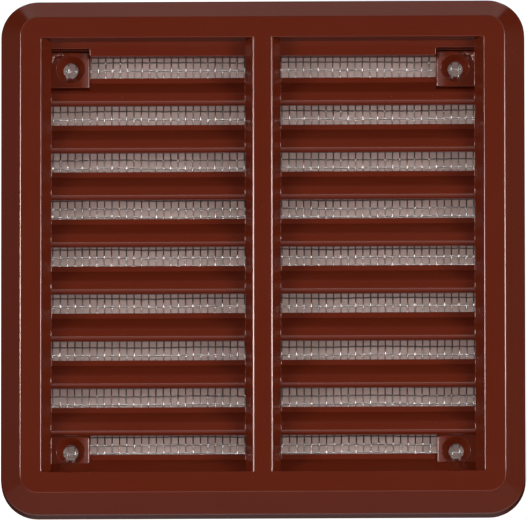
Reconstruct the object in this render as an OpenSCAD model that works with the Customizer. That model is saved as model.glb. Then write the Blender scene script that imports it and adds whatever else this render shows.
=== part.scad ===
// Square surface-mounted ventilation grille: a flanged frame with a central
// mullion, two bays of fixed louvres, four countersunk screw bosses in the
// corners, and a woven insect screen staked to the back.
// X points right, Z up, and the front faces -Y. Y = 0 is the wall.
// Every member is drawn lying on its back, with x right, y up the grille and
// z the height above the wall, and stand() turns it upright.

/* [Frame] */
// Outside width and height of the flange
outer_size = 100; // [95:1:120]
// Radius of the flange's outer corners
corner_r = 7; // [6:0.5:10]
// Height of the face above the wall
face_h = 8.2; // [7.8:0.1:12]
// Height of the flange's straight edge above the wall
rim_h = 5; // [3:0.1:6.5]
// Width of the sloping band between the edge and the face
band_w = 3.9; // [2:0.1:5]
// Wall thickness of the hollow flange
shell_t = 1.8; // [1:0.1:2.2]
// Rounding of the flange's two outer edges
edge_r = 0.5; // [0.2:0.05:0.8]

/* [Opening] */
// Width of the flange from its outer edge to the opening in the face
flange_w = 7.75; // [7:0.05:10]
// How far each side of the opening slopes inwards
side_slope_w = 1.75; // [0.5:0.05:2.5]
// Step of the top and bottom walls behind the rails
wall_step = 1.45; // [0.5:0.05:2.5]
// Distance from the opening's edge to the back of its wall
opening_wall_t = 1.05; // [0.8:0.05:1.5]
// Depth of the louvres' lips below the face
lip_recess = 3.7; // [2.5:0.1:4]
// Depth of the screw bosses' faces below the face
boss_recess = 5.4; // [4.8:0.1:6]
// Height of the screen's seat above the wall
seat_h = 0.9; // [0.8:0.05:1.5]

/* [Mullion] */
// Width of the mullion at the face
mullion_face_w = 3.9; // [2:0.1:6]
// Width of the mullion at the louvres
mullion_root_w = 6.7; // [5:0.1:9]

/* [Louvres] */
// Distance from the opening's top edge to the first louvre's upper edge
top_gap = 6.6; // [6:0.1:8]
// Distance from the opening's bottom edge to the sill's upper edge
sill_rise = 4.5; // [4:0.05:6]
// Thickness of a louvre's rear upstand
upstand_t = 1.1; // [0.8:0.05:1.5]
// Height of the upstand above the sloping web
upstand_rise = 1.47; // [0.8:0.05:2]
// Fall of the sloping web from the upstand to the lip
web_fall = 2; // [1.5:0.1:3]
// Thickness of the sloping web
web_t = 1.3; // [0.9:0.05:1.6]
// Height of the lip's flat front
lip_flat = 1.33; // [0.8:0.05:2]
// Radius of the rounded nose below the lip
nose_r = 1.05; // [0.7:0.05:1.3]
// Height of the top rail's front
rail_rise = 2.85; // [2:0.05:3.5]
// Height of the top rail where it passes over a screw boss
rail_rise_at_boss = 1.25; // [1:0.05:1.4]

/* [Screws] */
// Distance from the opening's side edges to the screw holes' centres
screw_inset_x = 5.5; // [5.2:0.1:7]
// Distance from the opening's top and bottom edges to the holes' centres
screw_inset_z = 5; // [4.5:0.1:7]
// Diameter of the screw holes
screw_hole_d = 2.9; // [2.5:0.1:4]
// Diameter of the countersink at the boss's face
countersink_d = 5.4; // [4.4:0.1:6.5]
// Distance from a screw hole's centre to its boss's inner edge
boss_reach = 3.65; // [3.4:0.05:4.5]
// Diameter kept clear for the screwdriver in front of a lower boss
driver_clearance_d = 10.2; // [9:0.1:10.6]

/* [Screen] */
// Distance between the screen's upright wires (18 to the inch)
warp_pitch = 1.411; // [1.3:0.001:1.7]
// Distance between the screen's cross wires (16 to the inch)
weft_pitch = 1.5875; // [1.4:0.0005:1.8]
// Diameter of a wire
wire_d = 0.25; // [0.15:0.01:0.35]
// Margin between the screen's edge and the edge of its seat
screen_margin = 0.1; // [0:0.05:0.5]
// Diameter of the flattened heads that hold the screen
stake_head_d = 1.8; // [1.4:0.1:2.2]
// Height of a flattened head
stake_head_h = 0.3; // [0.2:0.05:0.6]
// Number of stakes along each side of the screen
stakes_per_side = 5; // [3:1:7]

/* [Hidden] */

brown = "#5a2116";
aluminium = "#b9b6b0";

louvre_count = 8;
arc_steps = 6;
round_fn = 48;
wire_fn = 16;
// overshoot of a cut past the face that it opens
cut = 1;
// running clearance between the wires' two layers and what they lie against
wire_gap = 0.02;
// clearance between a stake and the wires round it
stake_gap = 0.08;

half_outer = outer_size / 2;
half_opening = half_outer - flange_w;
opening_size = 2 * half_opening;
corner_at = half_outer - corner_r;
half_x = half_opening - side_slope_w;
half_z = half_opening - wall_step;
half_seat = half_opening + opening_wall_t;
half_mullion = mullion_root_w / 2;
lip_h = face_h - lip_recess;
boss_h = face_h - boss_recess;

upstand_front_h = seat_h + upstand_t;
first_louvre_z = half_opening - top_gap;
sill_z = sill_rise - half_opening;
louvre_pitch = (first_louvre_z - sill_z) / louvre_count;
nose_drop = upstand_rise + web_fall + lip_flat;
web_slope = web_fall / (lip_h - upstand_front_h);
web_angle = atan(web_slope);

screw_x = half_opening - screw_inset_x;
screw_z = half_opening - screw_inset_z;
boss_x = screw_x - boss_reach;
boss_z = screw_z - boss_reach;
countersink_h = (countersink_d - screw_hole_d) / 2;

half_screen = half_seat - screen_margin;
warp_h = seat_h - wire_gap - wire_d / 2;
weft_h = warp_h - wire_d - wire_gap;
screen_back_h = weft_h - wire_d / 2;
stake_d = min(warp_pitch, weft_pitch) - wire_d - 2 * stake_gap;

// Turns a member that lies on its back upright, with its face towards -Y.
module stand() {
    rotate([90, 0, 0]) children();
}

// Extrudes a side view, drawn as [up the grille, height above the wall],
// from x0 to x1 across the grille.
module across(x0, x1) {
    translate([x0, 0, 0])
        rotate([90, 0, 90])
            linear_extrude(height = x1 - x0) children();
}

// Points of an arc about a centre.
function arc(centre, r, from, to) = [
    for (i = [0 : arc_steps])
        let (a = from + (to - from) * i / arc_steps)
            centre + r * [cos(a), sin(a)]
];

// Section of the flange from the corner's centre outwards, inset by t from
// the outside, with the two outer edges rounded by r.
function flange_section(t, r, base_h) =
    let (
        slope = atan((face_h - rim_h) / band_w),
        edge_u = corner_r - t,
        edge_z = rim_h - t * tan((90 - slope) / 2),
        face_u = corner_r - band_w - t * tan(slope / 2),
        face_z = face_h - t,
        edge_set = r * tan((90 - slope) / 2),
        face_set = r * tan(slope / 2)
    )
    r == 0
    ? [[0, base_h], [edge_u, base_h], [edge_u, edge_z], [face_u, face_z], [0, face_z]]
    : concat(
        [[0, base_h], [edge_u, base_h]],
        arc([edge_u - r, edge_z - edge_set], r, 0, 90 - slope),
        arc([face_u - face_set, face_z - r], r, 90 - slope, 90),
        [[0, face_z]]
    );

// Carries a flange section round the rounded square and fills its middle.
module flange_sweep(t, r, base_h) {
    section = flange_section(t, r, base_h);
    side = 2 * corner_at;
    for (quarter = [0 : 3])
        rotate([0, 0, 90 * quarter]) {
            translate([corner_at, corner_at, 0])
                rotate_extrude(angle = 90, $fn = 4 * round_fn) polygon(section);
            translate([corner_at, corner_at, 0])
                rotate([90, 0, 0])
                    linear_extrude(height = side) polygon(section);
        }
    translate([-corner_at, -corner_at, base_h])
        cube([side, side, face_h - t - base_h]);
}

// The opening's front: straight at top and bottom, sloping at the sides.
module opening_cut() {
    slope = side_slope_w / lip_recess;
    translate([0, half_opening, 0])
        rotate([90, 0, 0])
            linear_extrude(height = opening_size)
                polygon([
                    [-half_opening - slope * cut, face_h + cut],
                    [-half_x, lip_h], [-half_x, boss_h],
                    [half_x, boss_h], [half_x, lip_h],
                    [half_opening + slope * cut, face_h + cut]
                ]);
    translate([-half_x, -half_z, -cut])
        cube([2 * half_x, 2 * half_z, boss_h + 2 * cut]);
}

// Hollow back of the flange, round the opening's wall, and the recess that
// the screen lies in.
module back_hollow() {
    difference() {
        flange_sweep(shell_t, 0, -cut);
        translate([-half_seat, -half_seat, seat_h])
            cube([2 * half_seat, 2 * half_seat, face_h]);
    }
}

module face_frame() {
    color(brown) stand() difference() {
        flange_sweep(0, edge_r, 0);
        opening_cut();
        back_hollow();
        for (side = [-1, 1])
            driver_relief(side);
    }
}

// Shallow hollow in the opening's bottom edge below a lower screw.
module driver_relief(side) {
    intersection() {
        translate([side * screw_x, -screw_z, lip_h])
            cylinder(h = face_h, d = driver_clearance_d, $fn = 2 * round_fn);
        translate([-half_outer, -half_outer, 0])
            cube([outer_size, half_outer - half_opening, 2 * face_h]);
    }
}

module mullion() {
    half_face = mullion_face_w / 2;
    color(brown) stand() difference() {
        translate([0, half_opening, 0])
            rotate([90, 0, 0])
                linear_extrude(height = opening_size)
                    polygon([
                        [-half_face, face_h], [-half_mullion, lip_h],
                        [-half_mullion, seat_h], [half_mullion, seat_h],
                        [half_mullion, lip_h], [half_face, face_h]
                    ]);
        for (end = [-1, 1])
            translate([0, end * (half_z + wall_step), boss_h / 2])
                cube([mullion_root_w + cut, 2 * wall_step, boss_h], center = true);
    }
}

// Block of one corner's screw boss, drawn in the right-hand half.
module boss_block(is_top) {
    translate([boss_x, is_top ? boss_z : -half_z, seat_h])
        cube([half_x - boss_x, half_z - boss_z, boss_h - seat_h]);
}

module screw_boss(side, is_top) {
    color(brown) stand() mirror([side < 0 ? 1 : 0, 0, 0])
        difference() {
            boss_block(is_top);
            translate([screw_x, is_top ? screw_z : -screw_z, 0]) {
                cylinder(h = face_h, d = screw_hole_d, $fn = round_fn);
                translate([0, 0, boss_h - countersink_h])
                    cylinder(
                        h = countersink_h + cut,
                        d1 = screw_hole_d,
                        d2 = countersink_d + 2 * cut,
                        $fn = round_fn
                    );
            }
        }
}

// Side view of a louvre whose upper edge is at 0: an upstand at the back, a
// web that falls to the front, and a flat lip with a rounded nose below it.
function louvre_section() =
    let (
        lip_top = -upstand_rise - web_fall,
        nose = [-nose_drop, lip_h - nose_r],
        under = web_t / cos(web_angle),
        nose_back_h = lip_h - 2 * nose_r,
        under_front = lip_top + (lip_h - nose_back_h) * web_slope - under,
        under_back = -upstand_rise + upstand_t * web_slope - under
    )
    concat(
        [
            [0, seat_h], [0, upstand_front_h],
            [-upstand_rise, upstand_front_h], [lip_top, lip_h]
        ],
        arc(nose, nose_r, 90, 270),
        [[under_front, nose_back_h], [under_back, seat_h]]
    );

module louvre(side, row) {
    z = first_louvre_z - row * louvre_pitch;
    color(brown) stand() mirror([side < 0 ? 1 : 0, 0, 0])
        difference() {
            across(half_mullion, half_x)
                translate([z, 0]) polygon(louvre_section());
            if (row == 0) boss_block(true);
            if (row == louvre_count - 1) boss_block(false);
        }
}

module top_rail(side) {
    foot = half_opening - rail_rise;
    notch_foot = half_opening - rail_rise_at_boss;
    color(brown) stand() mirror([side < 0 ? 1 : 0, 0, 0])
        difference() {
            translate([half_mullion, foot, boss_h])
                cube([half_x - half_mullion, rail_rise, lip_h - boss_h]);
            translate([boss_x, foot - cut, boss_h - cut])
                cube([half_x, notch_foot - foot + cut, lip_h]);
        }
}

// The sill is the lowest louvre's upstand and web, run down to the bottom
// wall of the opening, and trimmed to the sloping sides of its bay.
module sill(side) {
    crease = sill_z - upstand_rise;
    tip_h = upstand_front_h + (crease + half_opening) / web_slope;
    half_face = mullion_face_w / 2;
    color(brown) stand() mirror([side < 0 ? 1 : 0, 0, 0])
        difference() {
            intersection() {
                across(half_face, half_opening)
                    polygon([
                        [sill_z, seat_h], [sill_z, upstand_front_h],
                        [crease, upstand_front_h], [-half_opening, tip_h],
                        [-half_opening, boss_h], [-half_z, boss_h],
                        [-half_z, seat_h]
                    ]);
                rotate([90, 0, 0])
                    translate([0, 0, -half_opening])
                        linear_extrude(height = opening_size)
                            polygon([
                                [half_face, face_h], [half_mullion, lip_h],
                                [half_mullion, 0], [half_x, 0],
                                [half_x, lip_h], [half_opening, face_h]
                            ]);
            }
            boss_block(false);
        }
}

// Offsets of the wires on one side of the middle, half a pitch off it.
function wire_offsets(pitch) =
    [for (i = [0 : floor((half_screen - wire_d / 2) / pitch - 0.5)]) (i + 0.5) * pitch];

module wire() {
    translate([0, 0, -half_screen])
        cylinder(h = 2 * half_screen, d = wire_d, $fn = wire_fn);
}

module screen_warp_wires() {
    color(aluminium) stand()
        for (x = wire_offsets(warp_pitch), side = [-1, 1])
            translate([side * x, 0, warp_h]) rotate([90, 0, 0]) wire();
}

module screen_weft_wires() {
    color(aluminium) stand()
        for (y = wire_offsets(weft_pitch), side = [-1, 1])
            translate([0, side * y, weft_h]) rotate([0, 90, 0]) wire();
}

// Nearest gap between wires to a wanted place.
function gap_near(place, pitch) = round(place / pitch) * pitch;

// A pin through one mesh of the screen, with its end melted into a flat head.
module stake(x, y) {
    at_x = gap_near(x, warp_pitch);
    at_y = gap_near(y, weft_pitch);
    head_h = screen_back_h - wire_gap - stake_head_h;
    translate([at_x, at_y, head_h]) {
        cylinder(h = stake_head_h, d = stake_head_d, $fn = round_fn);
        cylinder(h = seat_h - head_h, d = stake_d, $fn = round_fn);
    }
}

module screen_stakes() {
    seat_x = (half_x + half_seat) / 2;
    seat_y = half_z + stake_d / 2;
    step = 2 * seat_y / (stakes_per_side - 1);
    color(brown) stand() {
        for (i = [0 : stakes_per_side - 1], side = [-1, 1])
            stake(side * seat_x, -seat_y + i * step);
        for (i = [1 : stakes_per_side - 2], side = [-1, 1])
            stake(-seat_y + i * step, side * seat_y);
        for (i = [1 : stakes_per_side - 2])
            stake(0, -seat_y + i * step);
    }
}

face_frame();
mullion();
top_rail(-1);  // top_rail_left
top_rail(1);  // top_rail_right
for (row = [0 : louvre_count - 1]) {
    louvre(-1, row);
    louvre(1, row);
}
sill(-1);  // sill_left
sill(1);  // sill_right
screw_boss(-1, true);  // screw_boss_top_left
screw_boss(1, true);  // screw_boss_top_right
screw_boss(-1, false);  // screw_boss_bottom_left
screw_boss(1, false);  // screw_boss_bottom_right
screen_warp_wires();
screen_weft_wires();
screen_stakes();
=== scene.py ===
"""Looks of a square moulded ventilation grille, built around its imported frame.

All of its pieces are surfaces worked out with numpy. Every shape is drawn flat
on its back in millimetres, as (across, up the grille, height above the wall),
and is stood upright when its mesh is made.
"""

import math

import bpy
import numpy as np
from mathutils import Matrix, Vector


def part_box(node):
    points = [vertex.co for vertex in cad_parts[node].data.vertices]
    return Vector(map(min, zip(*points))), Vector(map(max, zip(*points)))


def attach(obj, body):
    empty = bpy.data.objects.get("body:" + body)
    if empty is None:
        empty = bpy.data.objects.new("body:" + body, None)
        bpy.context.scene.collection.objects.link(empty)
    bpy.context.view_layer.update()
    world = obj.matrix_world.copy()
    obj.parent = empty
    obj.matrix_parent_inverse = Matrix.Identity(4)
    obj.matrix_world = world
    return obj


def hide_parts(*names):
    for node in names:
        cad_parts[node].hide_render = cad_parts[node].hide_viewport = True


bl_info = {
    "name": "Ventilation grille",
    "version": (1, 0, 0),
    "blender": (4, 5, 0),
    "location": "3D View > Sidebar > Grille",
    "description": "Builds the looks of a moulded ventilation grille around its frame",
    "category": "Add Mesh",
}

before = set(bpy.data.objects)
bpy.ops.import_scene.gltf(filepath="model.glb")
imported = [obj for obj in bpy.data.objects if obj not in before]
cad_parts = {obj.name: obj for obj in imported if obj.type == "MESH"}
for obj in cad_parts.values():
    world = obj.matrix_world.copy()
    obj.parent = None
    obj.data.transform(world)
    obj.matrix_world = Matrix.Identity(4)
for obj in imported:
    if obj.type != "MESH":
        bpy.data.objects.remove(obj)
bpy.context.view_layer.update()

MM = 0.001
# what keeps two surfaces out of one plane, in mm
SLIVER = 0.01
# how far a piece's end runs into the wall that it meets, in mm
LET_IN = 0.3
# from a curve's end to the point that keeps the flat beside it flat, in mm
SUPPORT = 0.05
# what is pressed flat, out of sight in a boss, keeps this share of its depth
PRESSED = 0.01
# dents in an upper boss's outer corner, in mm: inwards, down, radius and depth
DENTS = ((0.75, 0.95, 0.3, 0.3), (1.7, 0.55, 0.32, 0.26),
         (0.5, 1.75, 0.22, 0.16), (1.15, 1.5, 0.25, 0.08))
# light met after one reflection has a ray depth of 2, and later light more
FIRST_REFLECTION = 2.5
ROWS = range(1, 9)
SIDES = {"left": -1, "right": 1}
PLASTIC_SLOT = "brown_plastic"
WIRE_SLOT = "screen_wire"


def box_mm(node):
    """A node's lowest and highest corners as (across, up, height), in mm."""
    low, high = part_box(node)
    return (np.array([low.x, low.z, -high.y]) / MM,
            np.array([high.x, high.z, -low.y]) / MM)


FRAME_HIGH = box_mm("face_frame")[1]
MULLION_HIGH = box_mm("mullion")[1]
LOUVRE_LOW, LOUVRE_HIGH = box_mm("louvre_right_2")
BOSS_LOW, BOSS_HIGH = box_mm("screw_boss_top_right")
RAIL_LOW, RAIL_HIGH = box_mm("top_rail_right")
SCREEN_HIGH = box_mm("screen_warp_wires")[1]


def length(name, description, default_mm, low_mm=0.01, high_mm=200.0):
    """A length property, given in millimetres and kept in metres."""
    return bpy.props.FloatProperty(
        name=name, description=description, default=default_mm * MM,
        min=low_mm * MM, max=high_mm * MM, subtype="DISTANCE", unit="LENGTH",
        precision=5)


def colour(name, description, default):
    """A colour property, given as sRGB hex digits."""
    return bpy.props.StringProperty(name=name, description=description, default=default)


def angle(name, description, degrees):
    """An angle property, given in degrees."""
    return bpy.props.FloatProperty(
        name=name, description=description, default=math.radians(degrees),
        subtype="ANGLE", unit="ROTATION")


class GrilleSizes(bpy.types.PropertyGroup):
    """Sizes of the moulding that the frame's boxes don't give."""
    corner_r: length("Corner radius", "Radius of the flange's outer corners", 7.0)
    rim_h: length("Rim height", "Height of the flange's straight edge", 4.9)
    band_w: length("Band width", "Width of the sloping band round the face", 3.75)
    shell_t: length("Shell thickness", "Wall thickness of the hollow flange", 1.8)
    edge_reach: length("Outer edge rounding", "Reach of the outer edges' rounding", 0.5)
    face_reach: length("Face edge rounding", "Reach of the rounding from face to band", 0.24)
    opening_reach: length("Opening edge rounding",
                          "Reach of the rounding of the opening's edge", 0.3)
    opening_corner_r: length("Opening corners", "Radius of the opening's corners", 0.25)
    opening_wall_t: length("Opening wall", "Thickness of the wall round the opening", 1.05)
    mullion_face_w: length("Mullion face width", "Width of the mullion at the face", 3.9)
    mullion_reach: length("Mullion edge rounding", "Reach of its edges' rounding", 0.46)
    upstand_t: length("Upstand thickness", "Thickness of a louvre's rear upstand", 1.1)
    upstand_rise: length("Upstand rise", "Height of the upstand above the web", 1.05)
    front_reach: length("Upstand front edge", "Reach of its rounding", 0.16)
    back_reach: length("Upstand back edge", "Reach of its rounding", 0.12)
    crease_reach: length("Crease", "Reach of the rounding between upstand and web", 0.1)
    web_fall: length("Web fall", "Fall of the web from the upstand to the lip", 2.42)
    web_t: length("Web thickness", "Thickness of the sloping web", 1.3)
    lip_flat: length("Lip flat", "Height of the lip's flat front", 1.33)
    lip_reach: length("Lip edge", "Reach of the rounding between web and lip", 0.65)
    nose_r: length("Nose radius", "Radius of the nose below the lip", 1.05)
    web_cove: length("End fillet", "Radius of the fillets at the louvres' ends", 0.1)
    rail_notch: length("Rail over a boss", "Height of the rail above a boss", 1.35)
    boss_cove: length("Boss fillet", "Radius of the fillet beside a boss", 0.1)
    boss_crown: length("Boss crown", "Fall of a boss's face towards its inner edge", 0.3)
    boss_gap: length("Boss gap", "Groove between an upper boss and its rail", 0.35)
    boss_edge: length("Boss edge", "Radius of the boss's inner edge", 0.26)
    boss_low_edge: length("Boss lower edge", "Radius of the edge towards the middle", 0.14)
    boss_high_edge: length("Boss upper edge", "Radius of the edge at the groove", 0.2)
    hole_inset_x: length("Screw inset across", "From the opening's side to a screw", 5.5)
    hole_inset_z: length("Screw inset up", "From the opening's end to a screw", 5.0)
    hole_d: length("Screw hole", "Diameter of a screw hole", 2.9)
    countersink_d: length("Countersink", "Diameter of the countersink", 5.4)
    driver_d: length("Driver clearance", "Hollow kept clear for a screwdriver", 10.2)
    warp_pitch: length("Warp pitch", "Distance between the upright wires", 1.411)
    weft_pitch: length("Weft pitch", "Distance between the cross wires", 1.5875)
    wire_d: length("Wire", "Diameter of the screen's wires", 0.25)
    stake_head_d: length("Stake head", "Diameter of a flattened stake's head", 1.8)
    stake_gap: length("Stake clearance", "Clearance between a stake and the wires", 0.08)


class GrilleFinishes(bpy.types.PropertyGroup):
    """Colours of the plastic and the wire."""
    plastic: colour("Plastic", "Main colour of the moulded plastic", "67220F")
    plastic_light: colour("Plastic flow", "Its lighter streaks of pigment", "6C2713")
    dust: colour("Dust", "Colour of the dust that lies on it", "B9A99E")
    wire: colour("Wire", "Colour of the aluminium wire", "8F8B88")
    wire_dull: colour("Dull wire", "Its colour where oxide has dulled it", "716C69")


class GrilleStage(bpy.types.PropertyGroup):
    """Camera, lights and what stands round the grille."""
    view_x: angle("View azimuth", "Camera's turn to the right of the front", 0.9)
    view_up: angle("View elevation", "Camera's height angle, below 0 from below", -11.7)
    roll: angle("Roll", "Camera's roll about its line of sight", -0.06)
    distance: length("Camera distance", "From the camera to the grille's face", 4700.0,
                     high_mm=20000.0)
    frame_w: length("Framed width", "Width that the camera frames at the face", 100.5)
    aim_x: length("Aim across", "Aimed point to the right of the middle", 0.16, -50.0)
    aim_z: length("Aim up", "Aimed point above the middle", -1.255, -50.0)
    floor_drop: length("Floor", "Depth of the floor below the grille's middle", 3200.0,
                       high_mm=20000.0)
    floor_tone: colour("Floor colour", "Colour of the painted floor", "E8E6E2")
    # painted shade: a darker, warm grey for a white wall in the grille's shade, reddened by
    # light reflected from its plastic
    wall_shaded_tone: colour("Wall colour", "Colour of the wall behind the slots", "98847F")


class Sizes:
    """The grille's sizes in millimetres."""


def sizes():
    """The sizes set in the panel, with the ones that the frame's boxes give."""
    s, group = Sizes(), bpy.context.scene.grille_sizes
    for key in group.__annotations__:
        setattr(s, key, getattr(group, key) / MM)
    s.half_outer = FRAME_HIGH[0]
    s.face_h = MULLION_HIGH[2]
    s.half_opening = RAIL_HIGH[1]
    s.half_x = LOUVRE_HIGH[0]
    s.half_z = BOSS_HIGH[1]
    s.half_mullion = MULLION_HIGH[0]
    s.seat_h = LOUVRE_LOW[2]
    s.lip_h = LOUVRE_HIGH[2]
    s.boss_h = BOSS_HIGH[2]
    s.boss_x, s.boss_z = BOSS_LOW[0], BOSS_LOW[1]
    s.hole_x = s.half_opening - s.hole_inset_x
    s.hole_z = s.half_opening - s.hole_inset_z
    s.half_seat = s.half_opening + s.opening_wall_t
    s.slope = (s.half_opening - s.half_x) / (s.face_h - s.lip_h)
    s.web_slope = s.web_fall / (s.lip_h - s.seat_h - s.upstand_t)
    return s


# Grids and meshes

def points_of(*coordinates):
    """Points whose coordinates are the numbers or grids given, one for each axis."""
    return np.stack(np.broadcast_arrays(*coordinates), axis=-1)


def grid_faces(rows, columns, close_rows, close_columns, start=0):
    """Quads of a grid of points laid row after row, closed round either way."""
    r, c = np.meshgrid(np.arange(rows if close_rows else rows - 1),
                       np.arange(columns if close_columns else columns - 1),
                       indexing="ij")
    r1, c1 = (r + 1) % rows, (c + 1) % columns
    quads = points_of(r * columns + c, r * columns + c1, r1 * columns + c1, r1 * columns + c)
    return start + quads.reshape(-1, 4)


def swept_faces(rows, columns, start=0):
    """Faces of a closed section carried along an open path: quads along it,
    and one flat face at each end."""
    quads = grid_faces(rows, columns, False, True, start).tolist()
    first = list(range(start, start + columns))
    last = list(range(start + (rows - 1) * columns, start + rows * columns))
    return quads + [first[::-1], last]


def signed_volume(points, faces):
    """Volume under the faces' fans of triangles, which is below 0 inside out."""
    total, by_size = 0.0, {}
    for face in faces:
        by_size.setdefault(len(face), []).append(face)
    for count, group in by_size.items():
        corner = points[np.array(group)]
        for k in range(1, count - 1):
            total += np.einsum("ij,ij->i", corner[:, 0],
                               np.cross(corner[:, k], corner[:, k + 1])).sum()
    return total / 6


def make_piece(name, points, faces, nodes, slot=PLASTIC_SLOT, sharp=50.0):
    """Stands points (across, up, height) upright, turns the faces outwards and
    makes them one smooth piece that replaces the named nodes."""
    upright = points.reshape(-1, 3)[:, [0, 2, 1]] * [1, -1, 1] * MM
    faces = [list(face) for face in faces]
    if signed_volume(upright, faces) < 0:
        faces = [face[::-1] for face in faces]
    mesh = bpy.data.meshes.new(name)
    mesh.from_pydata(upright, [], faces)
    mesh.shade_smooth()
    mesh.set_sharp_from_angle(angle=math.radians(sharp))
    mesh.materials.append(node_material(*LOOKS[slot]))
    mesh.update()
    piece = bpy.data.objects.new(name, mesh)
    bpy.context.scene.collection.objects.link(piece)
    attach(piece, "root")
    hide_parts(*nodes)


def rounded(table):
    """A closed outline whose corners are quadratic curves.

    A row of the table is a corner P and, last, the reach r of its curve, which is
    (1-t)^2 A + 2t(1-t) P + t^2 B, where A and B lie r before and after P. One
    more point stands a little beyond each end to keep the flats flat.
    """
    table = np.array(table, float)
    corners, reaches = table[:, :-1], table[:, -1]
    t = np.linspace(0, 1, 7)[:, None]
    out = []
    for k, reach in enumerate(reaches):
        here, before, after = corners[k], corners[k - 1], corners[(k + 1) % len(corners)]
        if reach == 0:
            out.append(here[None])
            continue
        back = (before - here) / np.linalg.norm(before - here)
        on = (after - here) / np.linalg.norm(after - here)
        start, end = here + back * reach, here + on * reach
        out.append((start + back * SUPPORT)[None])
        out.append((1 - t) ** 2 * start + 2 * t * (1 - t) * here + t ** 2 * end)
        out.append((end + on * SUPPORT)[None])
    return np.concatenate(out)


def outward(section):
    """Outward unit normals of a closed section, halfway between its edges'."""
    edge = np.roll(section, -1, axis=0) - section
    normal = edge[:, ::-1] * [1, -1]
    normal /= np.linalg.norm(normal, axis=1)[:, None]
    both = normal + np.roll(normal, 1, axis=0)
    both /= np.linalg.norm(both, axis=1)[:, None]
    area = np.sum(section[:, 0] * np.roll(section[:, 1], -1)
                  - section[:, 1] * np.roll(section[:, 0], -1))
    return both if area > 0 else -both


def cove(distance, radius):
    """Rise of a hollow quarter-round fillet at a distance from its wall."""
    inside = np.clip(radius - distance, 0, radius)
    return radius - np.sqrt(np.maximum(radius ** 2 - inside ** 2, 0))


# Materials

def linear(hex_digits):
    """sRGB hex digits as a linear colour with full alpha."""
    channel = np.array([int(hex_digits[i:i + 2], 16) for i in (0, 2, 4)]) / 255
    low = channel / 12.92
    high = ((channel + 0.055) / 1.055) ** 2.4
    return tuple(np.where(channel <= 0.04045, low, high)) + (1.0,)


def add_node(tree, kind, values=None, links=None, **settings):
    """Adds a shader node: settings are its own, values fill its inputs, and links
    join its inputs to other nodes' outputs."""
    node = tree.nodes.new("ShaderNode" + kind)
    for key, value in settings.items():
        setattr(node, key, value)
    for key, value in (values or {}).items():
        node.inputs[key].default_value = value
    for key, output in (links or {}).items():
        tree.links.new(output, node.inputs[key])
    return node


def noise(tree, place, size_mm, detail, distortion=0.0):
    """Soft patches of about this size. Places on a piece are in metres, so the
    scale that fits a size in mm is 1000 divided by it."""
    return add_node(tree, "TexNoise",
                    {"Scale": 1000 / size_mm, "Detail": detail, "Distortion": distortion},
                    {"Vector": place}).outputs["Fac"]


def span(tree, value, start, end, low, high):
    """A number that is low where the value is start, and high where it is end."""
    return add_node(tree, "MapRange", {"From Min": start, "From Max": end, "To Min": low,
                                       "To Max": high}, {"Value": value}).outputs[0]


def combine(tree, operation, first, *others):
    """The first number joined with each of the others in turn."""
    for other in others:
        first = add_node(tree, "Math", {}, {0: first, 1: other},
                         operation=operation).outputs[0]
    return first


def in_first_reflection(tree, depth):
    """1 for light met after one reflection at most, and 0 for later light."""
    return add_node(tree, "Math", {1: FIRST_REFLECTION}, {0: depth},
                    operation="LESS_THAN").outputs[0]


def node_material(name, surface_of, *settings):
    """The material of this name. When it is new, surface_of adds its nodes to the
    tree and returns the output that is its surface."""
    material = bpy.data.materials.get(name)
    if material is None:
        material = bpy.data.materials.new(name)
        material.use_nodes = True
        tree = material.node_tree
        tree.nodes.clear()
        surface = surface_of(tree, *settings)
        add_node(tree, "OutputMaterial", links={"Surface": surface})
    return material


def moulded_abs(tree):
    """Glossy brown ABS, injection moulded in a polished tool."""
    look = bpy.context.scene.grille_finishes
    place = add_node(tree, "TexCoord").outputs["Object"]
    # pigment swirls, about 12 mm wide, left by the melt's flow
    body = add_node(tree, "Mix",
                    {"A": linear(look.plastic), "B": linear(look.plastic_light)},
                    {"Factor": noise(tree, place, 12, 3.0, 1.2)}, data_type="RGBA")
    # settled dust: specks of 0.3 mm, a few to the square centimetre
    specks = add_node(tree, "TexVoronoi", {"Scale": 1000 / 2.6, "Randomness": 1.0},
                      {"Vector": place}, feature="F1")
    dust = add_node(tree, "ValToRGB", links={"Fac": specks.outputs["Distance"]})
    middle, rim = dust.color_ramp.elements
    middle.color = (0.3, 0.3, 0.3, 1)
    rim.position = 0.05
    rim.color = (0, 0, 0, 1)
    tint = add_node(tree, "Mix", {"B": linear(look.dust)},
                    {"A": body.outputs[2], "Factor": dust.outputs["Color"]},
                    data_type="RGBA")
    # the tool's polish leaves a faint orange peel of 0.7 mm
    bump = add_node(tree, "Bump", {"Strength": 0.05, "Distance": 0.0001},
                    {"Height": noise(tree, place, 0.7, 2.0)})
    # handling dulls the gloss in patches of about 20 mm
    dull = span(tree, noise(tree, place, 20, 4.0), 0.3, 0.7, 0.14, 0.20)
    return add_node(tree, "BsdfPrincipled", {"IOR": 1.53},
                    {"Base Color": tint.outputs[2], "Roughness": dull,
                     "Normal": bump.outputs["Normal"]}).outputs[0]


def woven_wire(tree):
    """Bright aluminium wire, drawn through a die and then crimped in the loom."""
    look = bpy.context.scene.grille_finishes
    place = add_node(tree, "TexCoord").outputs["Object"]
    # oxide that has dulled some stretches of 6 mm more than others
    oxide = noise(tree, place, 6, 3.0)
    tone = add_node(tree, "Mix", {"A": linear(look.wire), "B": linear(look.wire_dull)},
                    {"Factor": oxide}, data_type="RGBA")
    return add_node(tree, "BsdfPrincipled", {"Metallic": 0.5},
                    {"Base Color": tone.outputs[2],
                     "Roughness": span(tree, oxide, 0.3, 0.7, 0.16, 0.24)}).outputs[0]


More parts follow.
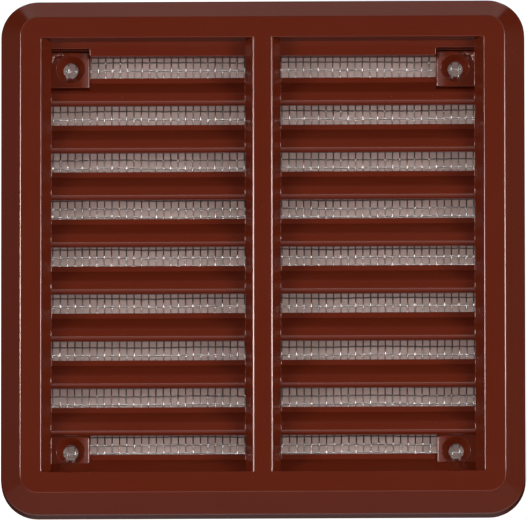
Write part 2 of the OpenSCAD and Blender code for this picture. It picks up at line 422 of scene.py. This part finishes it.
def matt_paint(tree, hex_digits, roughness, glow, clear_back=False):
    """A matt surface with a little light of its own. One with a clear back can be
    seen through from behind."""
    surface = add_node(tree, "BsdfPrincipled", {
        "Base Color": linear(hex_digits), "Roughness": roughness,
        "Emission Color": linear(hex_digits), "Emission Strength": glow}).outputs[0]
    if not clear_back:
        return surface
    behind = add_node(tree, "NewGeometry").outputs["Backfacing"]
    clear = add_node(tree, "BsdfTransparent").outputs[0]
    return add_node(tree, "MixShader", links={0: behind, 1: surface, 2: clear}).outputs[0]


# the name of a slot's material and what makes its surface
LOOKS = {PLASTIC_SLOT: ("moulded ABS, glossy brown", moulded_abs),
         WIRE_SLOT: ("drawn aluminium wire", woven_wire)}


# Frame moulding

def ring_columns(corner_steps, straight):
    """Where the columns of a ring stand round a rounded rectangle.

    A point is (cx (hx - r) + ux r, cz (hz - r) + uz r) for half sizes hx, hz and
    a corner radius r: cx, cz run along the straights and ux, uz turn the corners.
    """
    turn = np.linspace(0, np.pi / 2, corner_steps + 1)
    corner = np.stack(np.broadcast_arrays(1, np.cos(turn), 1, np.sin(turn)))
    side = np.stack(np.broadcast_arrays(straight, 0, 1, 1))
    quarter = np.concatenate([corner, side], axis=1)
    out = []
    for _ in range(4):
        out.append(quarter)
        cx, ux, cz, uz = quarter
        quarter = np.stack([-cz, -uz, cx, ux])
    return np.concatenate(out, axis=1)


def frame_section(s):
    """Closed section of the flange as (half x, half z, corner radius, height):
    up the opening's wall, over the face, down the band and the edge, and back
    through the hollow. In the table a corner has its rounding's reach as well."""
    tilt = math.atan((s.face_h - s.rim_h) / s.band_w)
    # just below the mullion's face, which would else lie in the same plane
    face_h = s.face_h - SLIVER / 2
    hollow_h = face_h - s.shell_t
    face_edge = s.half_outer - s.band_w
    inner = s.half_outer - s.shell_t
    inner_h = s.rim_h - s.shell_t * math.tan((math.pi / 2 - tilt) / 2)
    inner_face = face_edge - s.shell_t * math.tan(tilt / 2)
    opening, small, seat_corner = s.half_opening, s.opening_corner_r, 0.3
    return rounded([
        (s.half_x, s.half_z, small, s.seat_h, 0.1),
        (s.half_x, s.half_z, small, s.boss_h - 3 * SLIVER, 0),
        (s.half_x + SLIVER, opening, small, s.boss_h - 2 * SLIVER, 0),
        (s.half_x + 2 * SLIVER, opening, small, s.lip_h, 0),
        (s.half_x + 3 * SLIVER, opening, small, s.lip_h + SLIVER, 0),
        (opening, opening, small, face_h, s.opening_reach),
        (face_edge, face_edge, s.corner_r - s.band_w, face_h, s.face_reach),
        (s.half_outer, s.half_outer, s.corner_r, s.rim_h, s.edge_reach),
        (s.half_outer, s.half_outer, s.corner_r, 0.0, s.edge_reach),
        (inner, inner, s.corner_r - s.shell_t, 0.0, 0.12),
        (inner, inner, s.corner_r - s.shell_t, inner_h, 0.2),
        (inner_face, inner_face, s.corner_r - s.half_outer + inner_face, hollow_h, 0.2),
        (s.half_seat, s.half_seat, seat_corner, hollow_h, 0.3),
        (s.half_seat, s.half_seat, seat_corner, s.seat_h, 0.15),
    ])


class GRILLE_OT_frame(bpy.types.Operator):
    """Flanged frame with its sloping band, its opening and its hollow back"""
    bl_idname = "grille.frame"
    bl_label = "Frame moulding"

    def execute(self, context):
        s = sizes()
        section = frame_section(s)
        # columns crowd beside the screws, where the screwdriver's hollow is
        near = np.array([0, 0.3, 0.6, 0.8, 0.95, 1.1])
        notch = s.hole_x + np.concatenate([near, -near[1:]])
        notch = notch / (s.half_opening - s.opening_corner_r)
        straight = np.unique(np.concatenate([np.linspace(-1, 1, 41)[1:-1],
                                             notch[notch < 1], -notch[notch < 1]]))[::-1]
        cx, ux, cz, uz = ring_columns(12, straight)
        hx, hz, r, h = (section[:, k][:, None] for k in range(4))
        x = cx * (hx - r) + ux * r
        z = cz * (hz - r) + uz * r
        # the hollow moves the opening's lower edge, and what is near it, out in an arc
        driver_r, margin = s.driver_d / 2, 1.0
        off = np.minimum(np.abs(np.abs(x) - s.hole_x), driver_r)
        arc = s.hole_z + np.sqrt(driver_r ** 2 - off ** 2) - s.half_opening
        edge = (h > s.lip_h + SLIVER / 2) & (hx < s.half_opening + margin)
        edge = edge & (z + s.half_opening < margin)
        z = z - np.where(edge, np.clip(arc, 0, None), 0)
        make_piece("frame_moulding", points_of(x, z, h), grid_faces(*x.shape, True, True),
                   ["face_frame"])
        return {"FINISHED"}


class GRILLE_OT_mullion(bpy.types.Operator):
    """Central bar, flush with the face, its ends let into the frame"""
    bl_idname = "grille.mullion"
    bl_label = "Mullion"

    def execute(self, context):
        s = sizes()
        face, root, back = s.mullion_face_w / 2, s.half_mullion, s.seat_h + 3 * SLIVER
        half = np.array([(root, back, 0.1), (root, s.lip_h, 0.3),
                         (face, s.face_h, s.mullion_reach)])
        section = rounded(np.concatenate([half * [-1, 1, 1], half[::-1]]))
        # its ends are let well into the frame's face
        end = s.half_opening + 3 * LET_IN
        z = np.linspace(-end, end, 61)[:, None]
        x, h = section.T
        make_piece("mullion_bar", points_of(x, z, h), swept_faces(len(z), len(section)),
                   ["mullion"])
        return {"FINISHED"}


# Louvres, rails and sills

def bay_stations(s, beside_boss):
    """Where a side view stands across a bay, as distances from the mullion's side.
    The first and the last lie inside the walls. Close to each end more of them
    keep the fillets round, and two stand close together at a boss's side."""
    turn = s.web_cove * (1 - np.cos(np.linspace(0, np.pi / 2, 6)))
    width, boss = s.half_x - s.half_mullion, s.boss_x - s.half_mullion
    near = np.concatenate([[-LET_IN], turn, [s.web_cove + 0.1]])
    middle = np.linspace(2.0, width - 2.0, 16)
    step = [boss + 2 * SLIVER, boss + 4 * SLIVER] if beside_boss else []
    return np.unique(np.round(np.concatenate([near, middle, width - near, step]), 6))


def louvre_section(s):
    """Side view of a louvre whose upper edge is at 0, as (up, height): upstand,
    crease, web, lip, nose and underside."""
    front, back = s.seat_h + s.upstand_t, s.seat_h + SLIVER
    lip_top = -s.upstand_rise - s.web_fall
    nose_z = lip_top - s.lip_flat
    nose_back = s.lip_h - 2 * s.nose_r
    under = s.web_t * math.sqrt(1 + s.web_slope ** 2)
    outline = rounded([
        (-s.upstand_rise + s.upstand_t * s.web_slope - under, back, 0.1),
        (0, back, s.back_reach), (0, front, s.front_reach),
        (-s.upstand_rise, front, s.crease_reach), (lip_top, s.lip_h, s.lip_reach),
        (nose_z, s.lip_h, 0), (nose_z, nose_back, 0),
        (lip_top + (s.lip_h - nose_back) * s.web_slope - under, nose_back, 0.25)])
    # a half circle takes the place of the two sharp corners, which are neighbours
    sharp = np.where((np.abs(outline - [nose_z, s.lip_h]) < 1e-9).all(axis=1))[0][0]
    turn = np.linspace(0, np.pi, 15)
    nose = points_of(nose_z - s.nose_r * np.sin(turn),
                     s.lip_h - s.nose_r + s.nose_r * np.cos(turn))
    return np.concatenate([outline[:sharp], [[nose_z + SUPPORT, s.lip_h]], nose,
                           outline[sharp + 2:]])


def bay_piece(name, node, side, section, stations, s, squeeze=None):
    """Carries a side view across a bay, from wall to wall. By its ends it grows
    outwards by the rise of a fillet, except at its back."""
    width = s.half_x - s.half_mullion
    grow = cove(np.minimum(stations, width - stations), s.web_cove)[:, None, None]
    in_front = section[:, 1:] >= s.seat_h + 0.25
    body = section + grow * outward(section) * in_front
    up, height = body[..., 0], body[..., 1]
    x = s.half_mullion + stations[:, None]
    # above the lips the walls lean away, and the ends follow them
    lean = np.clip(height - s.lip_h, 0, None)
    from_left = stations[:, None] < width / 2
    mullion_slope = (s.half_mullion - s.mullion_face_w / 2) / (s.face_h - s.lip_h)
    x = np.where(from_left, x - lean * mullion_slope, x + lean * s.slope)
    if squeeze is not None:
        up, height = squeeze(x, up, height)
    make_piece(name, points_of(side * x, up, height),
               swept_faces(len(stations), len(section)), [node])


class GRILLE_OT_louvres(bpy.types.Operator):
    """Sixteen louvres: a nosed blade carried across its bay, eight in each"""
    bl_idname = "grille.louvres"
    bl_label = "Louvres"

    def execute(self, context):
        s = sizes()
        base = louvre_section(s)
        low = s.boss_z + 2 * SLIVER

        def clear_boss(x, up, height):
            """Presses what lies in a boss down to the boss's lower side."""
            hidden = (x > s.boss_x + 3 * SLIVER) & (up > low)
            hidden &= height < s.boss_h - 2 * SLIVER
            return np.where(hidden, low + PRESSED * (up - low), up), height

        # bosses cut the first row's boxes, so its top follows from the next two
        first_top = box_mm("louvre_left_2")[1][1] * 2 - box_mm("louvre_left_3")[1][1]
        for row in ROWS:
            for word, side in SIDES.items():
                node = f"louvre_{word}_{row}"
                top = box_mm(node)[1][1] if row > 1 else first_top
                bay_piece(f"louvre_blade_{word}_{row}", node, side, base + [top, 0],
                          bay_stations(s, row == 1), s, clear_boss if row == 1 else None)
        return {"FINISHED"}


class GRILLE_OT_sills(bpy.types.Operator):
    """Sills: the lowest upstand and web, run down into the opening's lower edge"""
    bl_idname = "grille.sills"
    bl_label = "Sills"

    def execute(self, context):
        s = sizes()
        front, back = s.seat_h + s.upstand_t, s.seat_h + 2 * SLIVER
        top = box_mm("sill_right")[1][1]
        crease = top - s.upstand_rise
        foot, end = -s.half_z - LET_IN, -s.half_opening - 0.5
        tip_h = front + (crease - end) / s.web_slope
        section = rounded([
            (end, s.boss_h, 0), (foot, s.boss_h, 0), (foot, back, 0),
            (top, back, s.back_reach), (top, front, s.front_reach),
            (crease, front, s.crease_reach), (end, tip_h, 0)])
        low, level = -s.half_z - 0.05, s.boss_h - 2 * SLIVER
        # the web comes out of a lower boss's face on this line
        meets = crease - (s.boss_h - front) * s.web_slope

        def clear_boss(x, up, height):
            """Presses what lies in a boss together under the line on its face."""
            hidden = (x > s.boss_x + 3 * SLIVER) & (up > low) & (height < level)
            return (np.where(hidden, meets + PRESSED * (up - crease), up),
                    np.where(hidden, level + PRESSED * (height - front), height))

        for word, side in SIDES.items():
            bay_piece(f"sill_{word}_blade", f"sill_{word}", side, section,
                      bay_stations(s, True), s, clear_boss)
        return {"FINISHED"}


class GRILLE_OT_rails(bpy.types.Operator):
    """Top rails: a plate along the opening's upper edge, notched over a boss"""
    bl_idname = "grille.rails"
    bl_label = "Top rails"

    def execute(self, context):
        s = sizes()
        foot, notch = RAIL_LOW[1], s.half_opening - s.rail_notch
        top, corner = s.half_opening + LET_IN, s.boss_x
        # radius of the foot's two bends, and how many points its straights have
        bend, along, over = 0.3, 20, 8
        turn = np.linspace(0, np.pi / 2, 7)
        # the foot's path: along the rail, up beside the boss and over it
        path = np.concatenate([
            points_of(np.linspace(s.half_mullion - LET_IN, corner - bend - SUPPORT, along),
                      foot),
            points_of(corner - bend + bend * np.sin(turn), foot + bend - bend * np.cos(turn)),
            points_of(corner + bend - bend * np.cos(turn), notch - bend + bend * np.sin(turn)),
            points_of(np.linspace(corner + bend + SUPPORT, s.half_x + LET_IN, over), notch)])
        normal = np.gradient(path, axis=0)[:, ::-1] * [-1, 1]
        normal /= np.linalg.norm(normal, axis=1)[:, None]
        # across the edge: depth into the rail and height, with rounded corners
        front, reach = s.lip_h, 0.12
        t = np.linspace(0, 1, 6)
        into = np.concatenate([[0.0], reach * t ** 2, [reach + SUPPORT]])
        level = np.concatenate([[front - reach - SUPPORT],
                                front - reach * (1 - t) ** 2, [front]])
        count = len(path)
        # over a boss the rail is deeper, and closes the groove above the boss
        back = np.where(path[:, 1] > notch - SLIVER, s.seat_h + 0.1, s.boss_h - 0.5)[:, None]
        # the upper edge is spaced by itself, so that no face folds at the bends
        x_top = np.interp(np.arange(count),
                          [0, along - 1, along + 2 * len(turn) - 1, count - 1],
                          [path[0, 0], corner - 1.3, corner + 0.15, path[-1, 0]])
        edge = path[:, None] + into[None, :, None] * normal[:, None]
        height = np.broadcast_to(level, edge.shape[:2])
        ends = points_of(x_top, top)[:, None]
        up = np.concatenate([ends, path[:, None], edge, ends], axis=1)
        level = np.concatenate([back, back, height, np.full((count, 1), front)], axis=1)
        for word, side in SIDES.items():
            points = np.concatenate([up * [side, 1], level[..., None]], axis=2)
            make_piece(f"top_rail_{word}_plate", points,
                       swept_faces(count, points.shape[1]), [f"top_rail_{word}"])
        return {"FINISHED"}


class GRILLE_OT_bosses(bpy.types.Operator):
    """Four corner bosses with countersunk screw holes, filleted to the walls"""
    bl_idname = "grille.bosses"
    bl_label = "Screw bosses"

    def execute(self, context):
        s = sizes()
        hole_r, sink_r = s.hole_d / 2, s.countersink_d / 2
        # the countersink is as deep as it is wide
        sink_h = s.boss_h - (sink_r - hole_r)
        back = s.seat_h + 2 * SLIVER
        low = np.array([s.boss_x, s.boss_z])
        # the groove's floor ends here, under the rail
        end = s.half_opening - s.rail_notch + 0.05
        high = np.array([s.half_x + 0.2, end - 0.05 - s.boss_gap])
        centre = np.array([s.hole_x, s.hole_z])
        corner = [np.arctan2(z - s.hole_z, x - s.hole_x)
                  for x in (low[0], high[0]) for z in (low[1], high[1])]
        angles = np.unique(np.round(np.concatenate(
            [np.linspace(-np.pi, np.pi, 97)[:-1], corner]), 6))
        ray = points_of(np.cos(angles), np.sin(angles))
        with np.errstate(divide="ignore"):
            reach = np.where(ray > 0, (high - centre) / ray,
                             np.where(ray < 0, (low - centre) / ray, np.inf))
        reach = reach.min(axis=1)[:, None]
        # a ray's points as distance from the screw and height: up the hole and the
        # countersink with its eased edges, over the face, and down the side
        inner = np.array([
            (hole_r, back), (hole_r, sink_h - 0.06), (hole_r + 0.02, sink_h),
            (hole_r + 0.1, sink_h + 0.1), (sink_r - 0.06, s.boss_h - 0.08),
            (sink_r - 0.02, s.boss_h - 0.035), (sink_r, s.boss_h - 0.01),
            (sink_r + 0.03, s.boss_h)])
        t = np.linspace(0, 1, 27)[1:]
        face_r, rays = inner[-1, 0], np.ones((len(angles), 1))
        distance = np.concatenate([inner[:, 0] * rays, face_r + (reach - face_r) * t,
                                   reach, reach + SLIVER, reach + SLIVER], axis=1)
        height = np.concatenate([inner[:, 1], np.full(len(t), s.boss_h),
                                 [back + 0.21, back + 0.2, back]]) * rays
        across = centre[0] + distance * ray[:, :1]
        up = centre[1] + distance * ray[:, 1:]
        # the last two rows run on under the rail, as the groove's floor
        floor = up[:, -2:]
        floor[floor > high[1] - SLIVER] = end
        face = slice(len(inner), len(inner) + len(t))
        x, z = across[:, face], up[:, face]
        rise = cove(s.half_x - x, s.boss_cove)
        drop = np.maximum.reduce([cove(x - low[0], s.boss_edge),
                                  cove(z - low[1], s.boss_low_edge),
                                  cove(high[1] - z, s.boss_high_edge)])
        # the face's crown starts beside the screw and falls with the square
        begin = centre[0] - 1.2
        drop += s.boss_crown * (np.clip(begin - x, 0, None) / (begin - low[0])) ** 2
        dents = sum(deep * np.exp(-(np.hypot(x - s.half_x + dx, z - high[1] + dz) / r) ** 2)
                    for dx, dz, r, deep in DENTS)
        for place, turn in (("top", 1), ("bottom", -1)):
            level = height.copy()
            level[:, face] -= drop + (dents if turn > 0 else 0)
            for word, side in SIDES.items():
                lift = 0 * level
                lift[:, face] = rise * (side != -turn)
                make_piece(f"screw_boss_{place}_{word}_block",
                           points_of(side * across, turn * up, level + lift),
                           grid_faces(*level.shape, True, True),
                           [f"screw_boss_{place}_{word}"])
        return {"FINISHED"}


# Screen

def wire_places(pitch, half, wire_d):
    """Wires stand half a pitch off the middle, out to the screen's edge."""
    count = int((half - wire_d / 2) / pitch - 0.5) + 1
    one_side = (np.arange(count) + 0.5) * pitch
    return np.concatenate([-one_side[::-1], one_side])


def wander(across, up):
    """The loom's unevenness: slow sideways waves in the mesh, in mm."""
    dx = 0.05 * np.sin(0.11 * across + 0.23 * up + 1.0) + 0.03 * np.sin(0.31 * up - 0.4)
    dz = 0.06 * np.sin(0.19 * across - 0.07 * up + 2.1) + 0.03 * np.sin(0.37 * across)
    # the cut's corner at the upper left is pulled in a little
    dx = dx + 0.28 * np.exp(-((across + 34) / 13) ** 2 - ((up - 38) / 6) ** 2)
    return dx, dz


def weave(places, pitch, cross_pitch, half, middle_h, wire_d, sense):
    """Tubes of a plain weave: places beside, along and above, as grids that fit
    the shape (wire, station, point round it).

    A wire at place p follows its line while its height swings above and below
    the screen's middle by s = c (1.35 - 0.35 c^2), with c = cos(pi (v / pitch of
    the crossing wires - 1/2)), and the sign changes from each wire to the next.
    """
    around, per_crossing, clearance = 6, 4, 0.004
    swing = wire_d / 2 + clearance
    stations = np.linspace(-half, half, round(2 * half / cross_pitch * per_crossing) + 1)
    index = np.round(places / pitch - 0.5).astype(int)
    sign = np.where(index % 2 == 0, 1, -1)[:, None] * sense
    c = np.cos(np.pi * (stations / cross_pitch - 0.5))[None]
    height = middle_h + sign * swing * c * (1.35 - 0.35 * c ** 2)
    turn = np.arange(around) * 2 * np.pi / around
    side = places[:, None, None] + wire_d / 2 * np.cos(turn)
    return side, stations[:, None], height[:, :, None] + wire_d / 2 * np.sin(turn)


class GRILLE_OT_screen(bpy.types.Operator):
    """Insect screen: warp and weft wires in a true plain weave"""
    bl_idname = "grille.screen"
    bl_label = "Woven screen"

    def execute(self, context):
        s = sizes()
        half = SCREEN_HIGH[1]
        middle = s.seat_h - s.wire_d - 3 * SLIVER
        for name, pitch, cross_pitch, sense in (
                ("warp_wires", s.warp_pitch, s.weft_pitch, 1),
                ("weft_wires", s.weft_pitch, s.warp_pitch, -1)):
            places = wire_places(pitch, half, s.wire_d)
            side, along, level = weave(places, pitch, cross_pitch, half - 0.1, middle,
                                       s.wire_d, sense)
            across, up = (side, along) if sense > 0 else (along, side)
            dx, dz = wander(across, up)
            wires, stations, around = level.shape
            faces = []
            for k in range(wires):
                faces += swept_faces(stations, around, k * stations * around)
            make_piece(name, points_of(across + dx, up + dz, level), faces,
                       ["screen_" + name], WIRE_SLOT, 80.0)
        return {"FINISHED"}


class GRILLE_OT_stakes(bpy.types.Operator):
    """Stakes: pins through the screen, melted into flat domed heads"""
    bl_idname = "grille.stakes"
    bl_label = "Stakes"

    def execute(self, context):
        s = sizes()
        head_r, head_low = s.stake_head_d / 2, box_mm("screen_stakes")[0][2]
        pin_r = (min(s.warp_pitch, s.weft_pitch) - s.wire_d) / 2 - s.stake_gap
        # a stake's radius and height, from its head's crown to the pin's end
        profile = np.array([(0.45 * head_r, 0.0), (0.8 * head_r, 0.03), (0.95 * head_r, 0.09),
                            (head_r, 0.16), (0.93 * head_r, 0.26), (pin_r + 0.05, 0.3),
                            (pin_r, 0.34), (pin_r, s.seat_h + 0.2 - head_low)])
        seat_x = (s.half_x + s.half_seat) / 2
        seat_z = s.half_z + pin_r
        even = np.linspace(-1, 1, 5) * seat_z
        wanted = np.concatenate([
            [(side * seat_x, v) for side in (-1, 1) for v in even],
            [(v, side * seat_z) for side in (-1, 1) for v in even[1:-1]],
            [(0, v) for v in even[1:-1]]])
        # each goes through the mesh between two wires
        pitch = np.array([s.warp_pitch, s.weft_pitch])
        places = np.round(wanted / pitch) * pitch
        turn = np.arange(20) * 2 * np.pi / 20
        rows, columns = len(profile), len(turn)
        faces, points = [], []
        for k, (x, z) in enumerate(places):
            # a head melted by hand isn't quite round
            squash = 1 + 0.06 * np.sin(2 * turn + 1.7 * k)
            ring = profile[:, :1] * np.where(profile[:, 1:] < 0.3, squash, 1)
            points.append(points_of(x + ring * np.cos(turn), z + ring * np.sin(turn),
                                    head_low + profile[:, 1:]))
            faces += swept_faces(rows, columns, k * rows * columns)
        make_piece("melted_stakes", np.concatenate(points), faces, ["screen_stakes"])
        return {"FINISHED"}


# Stage

def stage_plane(name, corners, material):
    """A flat stage piece with one face."""
    mesh = bpy.data.meshes.new(name)
    mesh.from_pydata(corners, [], [tuple(range(len(corners)))])
    mesh.materials.append(material)
    plane = bpy.data.objects.new(name, mesh)
    bpy.context.scene.collection.objects.link(plane)
    return plane


def soft_light(name, place, size, power, shades=True, shines=True, tint=(1, 1, 1),
               once=False):
    """A rectangular soft light that faces the grille and isn't seen itself. It
    may only shade the matt colour or only shine in the gloss, and once means that
    it shows in first reflections alone."""
    lamp = bpy.data.lights.new(name, "AREA")
    lamp.shape = "RECTANGLE"
    lamp.size, lamp.size_y = size
    lamp.energy = power
    lamp.color = tint
    if once:
        lamp.use_nodes = True
        tree = lamp.node_tree
        tree.nodes.clear()
        depth = add_node(tree, "LightPath").outputs["Ray Depth"]
        glow = add_node(tree, "Emission", {}, {"Strength": in_first_reflection(tree, depth)})
        add_node(tree, "OutputLight", links={"Surface": glow.outputs[0]})
    light = bpy.data.objects.new(name, lamp)
    light.location = place
    light.rotation_euler = Vector(place).to_track_quat("Z", "Y").to_euler()
    light.visible_camera = False
    light.visible_diffuse = shades
    light.visible_glossy = shines
    bpy.context.scene.collection.objects.link(light)
    return light


def limit_light(light, pieces, state):
    """Lets a light reach only these pieces (INCLUDE) or all but these (EXCLUDE)."""
    group = bpy.data.collections.new(light.name + "_reach")
    for piece in pieces:
        group.objects.link(piece)
    for entry in group.collection_objects:
        entry.light_linking.link_state = state
    light.light_linking.receiver_collection = group


def set_camera(scene, stage, face_h):
    """The camera, aimed at the face from below and a little to the right."""
    level = math.cos(stage.view_up)
    back = Vector((math.sin(stage.view_x) * level, -math.cos(stage.view_x) * level,
                   math.sin(stage.view_up)))
    aim = Vector((stage.aim_x, -face_h * MM, stage.aim_z))
    lens = bpy.data.cameras.new("camera")
    lens.sensor_width = 36.0
    lens.lens = lens.sensor_width * stage.distance / stage.frame_w
    lens.clip_start, lens.clip_end = 0.05, 50.0
    camera = bpy.data.objects.new("camera", lens)
    turn = back.to_track_quat("Z", "Y") @ Matrix.Rotation(stage.roll, 3, "Z").to_quaternion()
    camera.matrix_world = Matrix.LocRotScale(aim + back * stage.distance, turn, None)
    scene.collection.objects.link(camera)
    scene.camera = camera


def set_surfaces(stage, half_wall):
    """The floor, and the wall as far as the slots show it, which is returned. The wall's warm
    grey and its glow are painted shade and painted light. They stand for a white surface in
    the grille's shade, tinted by light reflected from the brown plastic.
    """
    half_floor, behind = 14.0, 0.0004
    square = np.array([(-1, -1), (1, -1), (1, 1), (-1, 1)]).T
    across, back = square * half_floor
    floor = stage_plane(
        "floor", points_of(across, back, -stage.floor_drop),
        node_material("painted floor, pale grey", matt_paint, stage.floor_tone, 0.7, 0.9))
    floor.visible_diffuse = floor.visible_glossy = False
    across, up = square * half_wall * MM
    # the wall is warm grey and glows a little: painted shade and painted light for the white
    # surface behind the grille
    wall = stage_plane(
        "wall_behind", points_of(across, behind, up),
        node_material("matt wall, painted shade and glow", matt_paint, stage.wall_shaded_tone, 0.9, 0.33, True))
    wall.visible_shadow = wall.visible_glossy = False
    return wall


def set_lights(wall):
    """Soft lights: bright strips for the edges, fills, and light from behind."""
    strip = {"shades": False, "tint": (1.0, 0.80, 0.75), "once": True}
    soft_light("strip_left", (-0.422, -0.408, 0.115), (0.39, 0.06), 2.5, **strip)
    soft_light("strip_right", (0.422, -0.408, 0.115), (0.39, 0.06), 2.3, **strip)
    rosy, amber = (1.0, 0.86, 0.83), (1.0, 0.84, 0.76)
    fills = [
        soft_light("overhead", (0, -0.4, 1.75), (1.8, 0.7), 2.4, shines=False, tint=rosy),
        soft_light("overhead_back", (0, 0.12, 1.75), (1.8, 0.3), 1.05, tint=rosy),
        soft_light("key_left", (-1.5, -1.3, -0.1), (0.7, 0.5), 16.5, shines=False),
        soft_light("key_right", (1.5, -1.3, -0.1), (0.7, 0.5), 19.5, shines=False),
        soft_light("low_front", (0, -2.4, -0.85), (2.2, 0.45), 7.2, tint=amber),
        soft_light("low_behind", (0, 1.2, -1.0), (1.2, 0.6), 11, shines=False)]
    for word, side in SIDES.items():
        soft_light("behind_" + word, (side * 0.8, 1.2, 2.4), (0.8, 0.8), 12)
    # narrow and without gloss, or it shows in the mullion's sloping sides
    soft_light("behind", (0, 2.6, 0.4), (0.5, 1.2), 26, shines=False)
    # what stands low in front, warm, which the louvres' noses reflect
    soft_light("low_warm", (0, -2.0, -2.0), (2.4, 1.8), 8, shades=False,
               tint=(1.0, 0.34, 0.3), once=True)
    # the wires get no fill but one light from above in front, so that they are dark
    # close under a louvre and as pale as the wall further down
    wires = [bpy.data.objects[name] for name in ("warp_wires", "weft_wires")]
    for light in fills:
        limit_light(light, wires, "EXCLUDE")
    for name, power, pieces in (("wire_light", 70, wires), ("wall_light", 9.5, [wall])):
        limit_light(soft_light(name, (0, -1.86, 0.74), (1.6, 0.3), power), pieces,
                    "INCLUDE")


def studio_world():
    """Surroundings that are white to look at, and darker where they light the
    grille and are reflected. Their brightness depends on the direction, with X to
    the right, Y to the back and Z up, and the brightest of the parts counts."""
    world = bpy.data.worlds.new("studio")
    world.use_nodes = True
    tree = world.node_tree
    tree.nodes.clear()
    way = add_node(tree, "TexCoord").outputs["Generated"]
    x, y, z = add_node(tree, "SeparateXYZ", links={"Vector": way}).outputs
    across = add_node(tree, "Math", {}, {0: x}, operation="ABSOLUTE").outputs[0]
    ray = add_node(tree, "LightPath").outputs
    # dark, but paler at the two sides and below
    dark = span(tree, y, -0.2, 0.1, 0.05, 0.01)
    flank = add_node(tree, "MapRange", {"From Min": 0.85, "From Max": 0.97, "To Max": 0.1},
                     {"Value": across, "To Min": dark})
    low = span(tree, z, -0.1, -0.35, 0.0, 0.23)
    # in the gloss, what lies in front is paler high up and low down
    gloss = combine(tree, "MULTIPLY", span(tree, y, -0.2, -0.5, 0.0, 1.0),
                    ray["Is Glossy Ray"])
    above = combine(tree, "MULTIPLY", span(tree, z, 0.35, 0.55, 0.0, 0.1), gloss)
    below = combine(tree, "MULTIPLY", span(tree, z, -0.35, -0.5, 0.0, 0.25), gloss)
    # and on both sides of the camera, but only in a first reflection
    beside = combine(tree, "MULTIPLY", in_first_reflection(tree, ray["Ray Depth"]),
                     span(tree, across, 0.12, 0.3, 0.0, 0.8),
                     span(tree, across, 0.45, 0.55, 1.0, 0.0),
                     span(tree, z, -0.08, 0.1, 0.0, 1.0), gloss)
    # and low down behind, where the wall round the grille is reflected
    behind = combine(tree, "MULTIPLY", span(tree, y, 0.05, 0.35, 0.0, 0.5),
                     span(tree, z, -0.2, -0.5, 0.0, 1.0), ray["Is Glossy Ray"])
    brightest = combine(tree, "MAXIMUM", flank.outputs[0], low, above, below, beside, behind)
    seen_white = 1.1
    strength = add_node(tree, "Mix", {"B": seen_white},
                        {"Factor": ray["Is Camera Ray"], "A": brightest}, data_type="FLOAT")
    glow = add_node(tree, "Background", {"Color": (1, 1, 1, 1)},
                    {"Strength": strength.outputs[0]})
    add_node(tree, "OutputWorld", links={"Surface": glow.outputs[0]})
    return world


class GRILLE_OT_stage(bpy.types.Operator):
    """Camera, soft lights, pale floor and the wall's surface behind the slots"""
    bl_idname = "grille.stage"
    bl_label = "Stage"

    def execute(self, context):
        scene, stage, s = context.scene, context.scene.grille_stage, sizes()
        set_camera(scene, stage, s.face_h)
        set_lights(set_surfaces(stage, s.half_seat))
        scene.world = studio_world()
        scene.view_settings.view_transform = "Standard"
        return {"FINISHED"}


OPERATORS = (GRILLE_OT_frame, GRILLE_OT_mullion, GRILLE_OT_louvres, GRILLE_OT_sills,
             GRILLE_OT_rails, GRILLE_OT_bosses, GRILLE_OT_screen, GRILLE_OT_stakes,
             GRILLE_OT_stage)


class GRILLE_PT_panel(bpy.types.Panel):
    """Lists the grille's pieces, sizes and finishes"""
    bl_idname = "GRILLE_PT_panel"
    bl_label = "Ventilation grille"
    bl_space_type = "VIEW_3D"
    bl_region_type = "UI"
    bl_category = "Grille"

    def draw(self, context):
        for operator in OPERATORS:
            self.layout.operator(operator.bl_idname)
        for name in GROUPS:
            group = getattr(context.scene, name)
            for key in group.__annotations__:
                self.layout.prop(group, key)


GROUPS = {"grille_sizes": GrilleSizes, "grille_finishes": GrilleFinishes,
          "grille_stage": GrilleStage}
CLASSES = (*GROUPS.values(), *OPERATORS, GRILLE_PT_panel)


def register():
    for cls in CLASSES:
        bpy.utils.register_class(cls)
    for name, group in GROUPS.items():
        setattr(bpy.types.Scene, name, bpy.props.PointerProperty(type=group))


def unregister():
    for name in GROUPS:
        delattr(bpy.types.Scene, name)
    for cls in reversed(CLASSES):
        bpy.utils.unregister_class(cls)


def main():
    register()
    bpy.ops.grille.frame()
    bpy.ops.grille.mullion()
    bpy.ops.grille.louvres()
    bpy.ops.grille.sills()
    bpy.ops.grille.rails()
    bpy.ops.grille.bosses()
    bpy.ops.grille.screen()
    bpy.ops.grille.stakes()
    bpy.ops.grille.stage()


if __name__ == "__main__":
    main()
